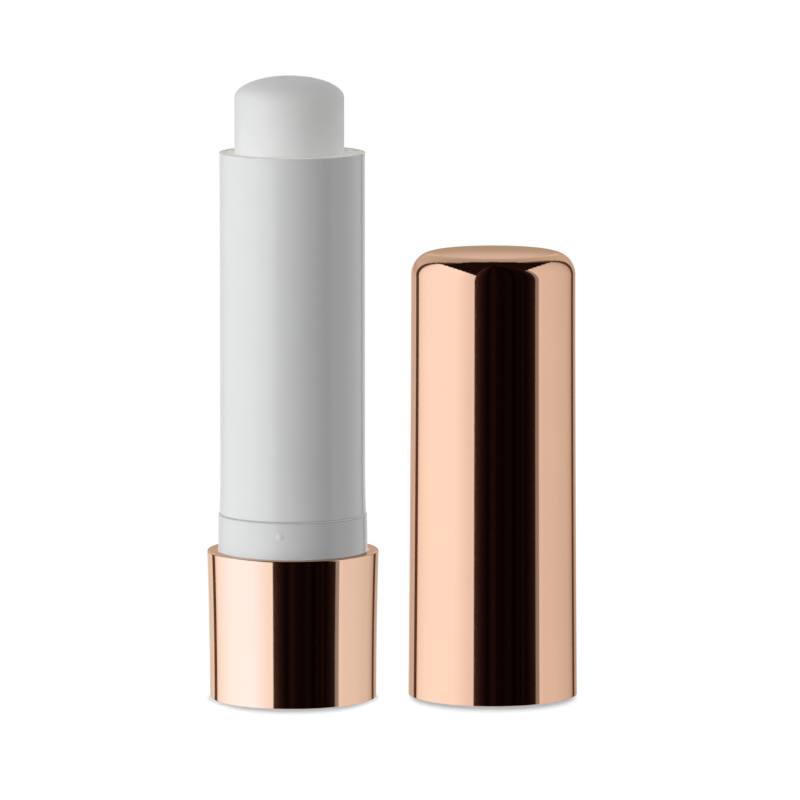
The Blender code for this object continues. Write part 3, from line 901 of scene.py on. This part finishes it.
def round_card(name, radius, azimuths, elevations, material, lit=None):
    """Part of a sphere round the stick, between two azimuths and two elevations."""
    verts = []
    for row in range(CARD_ROWS + 1):
        elevation = math.radians(elevations[0] + (elevations[1] - elevations[0]) * row / CARD_ROWS)
        for column in range(CARD_COLUMNS + 1):
            azimuth = math.radians(azimuths[0] + (azimuths[1] - azimuths[0]) * column / CARD_COLUMNS)
            verts.append((radius * math.sin(azimuth) * math.cos(elevation),
                          -radius * math.cos(azimuth) * math.cos(elevation), radius * math.sin(elevation)))
    width = CARD_COLUMNS + 1
    faces = []
    for row in range(CARD_ROWS):
        for column in range(CARD_COLUMNS):
            corner = row * width + column
            faces.append((corner, corner + 1, corner + width + 1, corner + width))
    card(name, verts, faces, material, lit)


def group(name, items):
    """A collection for the links of lights and cards, outside the scene."""
    collection = bpy.data.collections.new(name)
    for item in items:
        collection.objects.link(item)
    return collection


# The stick and the cap are each lit as if photographed alone, without the other's shadow or reflection
base = bpy.data.objects["base_cup"]
cap = bpy.data.objects["pull_off_cap"]
white_pieces = [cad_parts["spiral"]]
for name in ("base_insert", "sleeve_tube", "barrel_tube", "balm_cup", "balm_stick"):
    white_pieces.append(bpy.data.objects[name])
for item in white_pieces + [base, cap]:
    item.visible_glossy = False
base.visible_diffuse = False
cap.visible_diffuse = False
white_group = group("white_pieces", white_pieces)
base_group = group("base_pieces", [base])
balm_group = group("balm_pieces", [bpy.data.objects["balm_stick"]])
tube_group = group("tube_pieces", white_pieces[:-1] + [base])
stick_group = group("stick_pieces", white_pieces + [base])
cap_group = group("cap_pieces", [cap])
metal_group = group("metal_pieces", [base, cap])
shading_group = group("floor_shading_pieces", white_pieces + [cap])

# Cards that all the pieces mirror, cards for some of the pieces, and the card in front
back = (BACK_FIRST, BACK_LAST)
side_card("left_card", -1, LEFT_FRONT, LEFT_BACK, glow_material("left_glow", LEFT_GLOW))
side_card("right_card", 1, RIGHT_STRIP, RIGHT_BACK, glow_material("right_glow", RIGHT_GLOW))
round_card("low_card", BACK_DISTANCE, back, (LOWEST, 0), glow_material("low_glow", LOW_GLOW))
round_card("high_card", BACK_DISTANCE, back, (0, BACK_TOP),
           glow_material("high_glow", HIGH_GLOW, by_elevation=True))
round_card("crown_card", CROWN_DISTANCE, (CROWN_FIRST, CROWN_LAST), span(CROWN_GLOW),
           glow_material("crown_glow", CROWN_GLOW, by_elevation=True))
round_card("gap_card", GAP_DISTANCE, (RIGHT_BACK - GAP_OVERLAP, LEFT_BACK + 360 + GAP_OVERLAP),
           (LOWEST, BACK_TOP), glow_material("gap_glow", GAP_GLOW, by_elevation=True, colour=GAP_COLOUR))
side_card("base_left_card", -1, LEFT_FRONT, LEFT_BACK,
          glow_material("base_left_glow", BASE_LEFT_GLOW, added=True), BASE_SIDE_DISTANCE, base_group)
round_card("base_low_card", METAL_BACK_DISTANCE, back, (LOWEST, 0),
           glow_material("base_low_glow", BASE_LOW_GLOW, added=True), base_group)
round_card("cap_low_card", CAP_BACK_DISTANCE, back, (LOWEST, 0),
           glow_material("cap_low_glow", CAP_LOW_GLOW, added=True), cap_group)
round_card("metal_high_card", METAL_BACK_DISTANCE, back, (0, BACK_TOP),
           glow_material("metal_high_glow", METAL_HIGH_GLOW, by_elevation=True, added=True), metal_group)
round_card("white_gap_card", WHITE_BACK_DISTANCE, (BACK_LAST - 360, LEFT_BACK), (LOWEST, BACK_TOP),
           glow_material("white_gap_glow", WHITE_GAP_GLOW, by_elevation=True, added=True), white_group)
round_card("white_high_card", WHITE_BACK_DISTANCE, back, span(WHITE_HIGH_GLOW),
           glow_material("white_high_glow", WHITE_HIGH_GLOW, by_elevation=True, added=True), white_group)
round_card("front_card", FRONT_DISTANCE, (LEFT_FRONT, RIGHT_STRIP), (-90, 90),
           glow_material("front_glow", FRONT_GLOW, colour=FRONT_COLOUR))

# A glowing card that paints the collar's reflection into the base's rim, which nothing further off sees
echo_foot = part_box("outer_base")[1].z
echo_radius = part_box("inner_base")[1].x - COLLAR_DRAFT - ECHO_INSET
echo_verts = []
for z in (echo_foot - BASE_RIM_EDGE, echo_foot + ECHO_HEIGHT):
    for a in even_angles(ECHO_SEGMENTS):
        echo_verts.append((echo_radius * math.cos(a), echo_radius * math.sin(a), z))
echo_faces = []
for corner in range(ECHO_SEGMENTS):
    beside = (corner + 1) % ECHO_SEGMENTS
    echo_faces.append((corner, beside, beside + ECHO_SEGMENTS, corner + ECHO_SEGMENTS))
card("echo_card", echo_verts, echo_faces,
     glow_material("echo_glow", ECHO_GLOW, colour=ECHO_COLOUR, reach=ECHO_REACH), base_group)

# A card below, which the sides of the metal mirror only in views from well above
round_card("underfoot_card", UNDERFOOT_DISTANCE, (-180, 180), span(UNDERFOOT_GLOW),
           glow_material("underfoot_glow", UNDERFOOT_GLOW, by_elevation=True), metal_group)

black = bpy.data.materials.new("black_tent")
tree = node_maker(black)[0]
dark = tree.nodes.new("ShaderNodeEmission")
dark.inputs["Color"].default_value = (*TENT_COLOUR, 1.0)
dark.inputs["Strength"].default_value = TENT_GLOW
tree.links.new(dark.outputs["Emission"], tree.nodes.new("ShaderNodeOutputMaterial").inputs["Surface"])
round_card("dark_tent", TENT_DISTANCE, (-180, 180), (-90, 90), black)


def soft_lamp(name, azimuth, elevation, radiance, lit, shading):
    """An upright soft box that lights some pieces but doesn't show in their gloss."""
    data = bpy.data.lights.new(name, 'AREA')
    data.shape = 'RECTANGLE'
    data.size = LAMP_WIDTH
    data.size_y = LAMP_HEIGHT
    data.energy = radiance * math.pi * LAMP_WIDTH * LAMP_HEIGHT
    item = bpy.data.objects.new(name, data)
    a, e = math.radians(azimuth), math.radians(elevation)
    away = (math.sin(a) * math.cos(e), -math.cos(a) * math.cos(e), math.sin(e))
    item.location = [LAMP_DISTANCE * part for part in away]
    item.rotation_euler = (math.pi / 2 - e, 0.0, a)
    item.visible_glossy = False
    item.light_linking.receiver_collection = lit
    item.light_linking.blocker_collection = shading
    scene.collection.objects.link(item)


for azimuth, radiance in STICK_LAMPS:
    soft_lamp("stick_lamp_%d" % azimuth, azimuth, LAMP_ELEVATION, radiance, tube_group,
              stick_group if azimuth == RIM_SHADED_LAMP else white_group)
for azimuth, radiance in BALM_LAMPS:
    soft_lamp("balm_lamp_%d" % azimuth, azimuth, BALM_LAMP_ELEVATION, radiance / 2, balm_group, balm_group)
    soft_lamp("shaded_balm_lamp_%d" % azimuth, azimuth, BALM_LAMP_ELEVATION, radiance / 2, balm_group,
              white_group)
for azimuth, radiance in CAP_LAMPS:
    soft_lamp("cap_lamp_%d" % azimuth, azimuth, LAMP_ELEVATION, radiance, cap_group, cap_group)

# The world is white for the camera and in reflections, and dim for everything else
world = bpy.data.worlds.new("studio_world")
scene.world = world
tree, math_node = node_maker(world)
path = tree.nodes.new("ShaderNodeLightPath")
seen = math_node('MAXIMUM', path.outputs["Is Camera Ray"],
                 math_node('MAXIMUM', path.outputs["Is Glossy Ray"], path.outputs["Is Transmission Ray"]))
white = tree.nodes.new("ShaderNodeBackground")
ambient = tree.nodes.new("ShaderNodeBackground")
ambient.inputs["Strength"].default_value = AMBIENT_GLOW
mix = tree.nodes.new("ShaderNodeMixShader")
white.inputs["Color"].default_value = (1.0, 1.0, 1.0, 1.0)
tree.links.new(seen, mix.inputs["Fac"])
tree.links.new(ambient.outputs["Background"], mix.inputs[1])
tree.links.new(white.outputs["Background"], mix.inputs[2])
tree.links.new(mix.outputs["Shader"], tree.nodes.new("ShaderNodeOutputWorld").inputs["Surface"])

# Floor: white to the camera, shaded only where the pieces hide the light from above and behind
floor_material = bpy.data.materials.new("pale_floor")
tree = node_maker(floor_material)[0]
paper = tree.nodes.new("ShaderNodeBsdfDiffuse")
paper.inputs["Color"].default_value = (*FLOOR_COLOUR, 1.0)
clear = tree.nodes.new("ShaderNodeBsdfTransparent")
by_side = tree.nodes.new("ShaderNodeMixShader")
tree.links.new(tree.nodes.new("ShaderNodeNewGeometry").outputs["Backfacing"], by_side.inputs["Fac"])
tree.links.new(paper.outputs["BSDF"], by_side.inputs[1])
tree.links.new(clear.outputs["BSDF"], by_side.inputs[2])
tree.links.new(by_side.outputs["Shader"], tree.nodes.new("ShaderNodeOutputMaterial").inputs["Surface"])
half = FLOOR_SIZE / 2
floor_mesh = bpy.data.meshes.new("floor")
floor_corners = [(-half, -half, 0.0), (half, -half, 0.0), (half, half, 0.0), (-half, half, 0.0)]
floor_mesh.from_pydata(floor_corners, [], [(0, 1, 2, 3)])
floor_mesh.materials.append(floor_material)
floor = bpy.data.objects.new("floor", floor_mesh)
floor.visible_glossy = False
floor.visible_diffuse = False
floor.visible_shadow = False
scene.collection.objects.link(floor)
floor_group = group("floor_only", [floor])


def floor_sun(name, tilt, shading):
    """A sun from above and slightly behind that lights the floor alone, with the pieces that can shade it."""
    data = bpy.data.lights.new(name, 'SUN')
    data.energy = SUN_STRENGTH
    data.angle = SUN_WIDTH
    item = bpy.data.objects.new(name, data)
    item.rotation_euler = (-math.radians(tilt), 0.0, 0.0)
    item.light_linking.receiver_collection = floor_group
    item.light_linking.blocker_collection = shading
    scene.collection.objects.link(item)


# The base shades only the last two of the stick's four suns, because its rim is wider than its foot
floor_sun("floor_sun", SUN_NEAR_TILT, shading_group)
for index, tilt in enumerate(CAP_SUN_TILTS):
    floor_sun("cap_sun_%d" % (index + 1), tilt, cap_group)
floor_sun("white_sun", WHITE_SUN_TILT, white_group)
for index, tilt in enumerate(STICK_SUN_TILTS):
    floor_sun("stick_sun_%d" % (index + 1), tilt, stick_group)

# Camera
camera_data = bpy.data.cameras.new("camera")
camera_data.lens = CAMERA_LENS
camera_data.sensor_width = CAMERA_SENSOR
camera_data.clip_start = CAMERA_NEAR
camera_data.clip_end = CAMERA_FAR
camera = bpy.data.objects.new("camera", camera_data)
camera.location = CAMERA_PLACE
camera.rotation_euler = (CAMERA_PITCH, 0.0, 0.0)
scene.collection.objects.link(camera)
scene.camera = camera
scene.view_settings.view_transform = 'Standard'
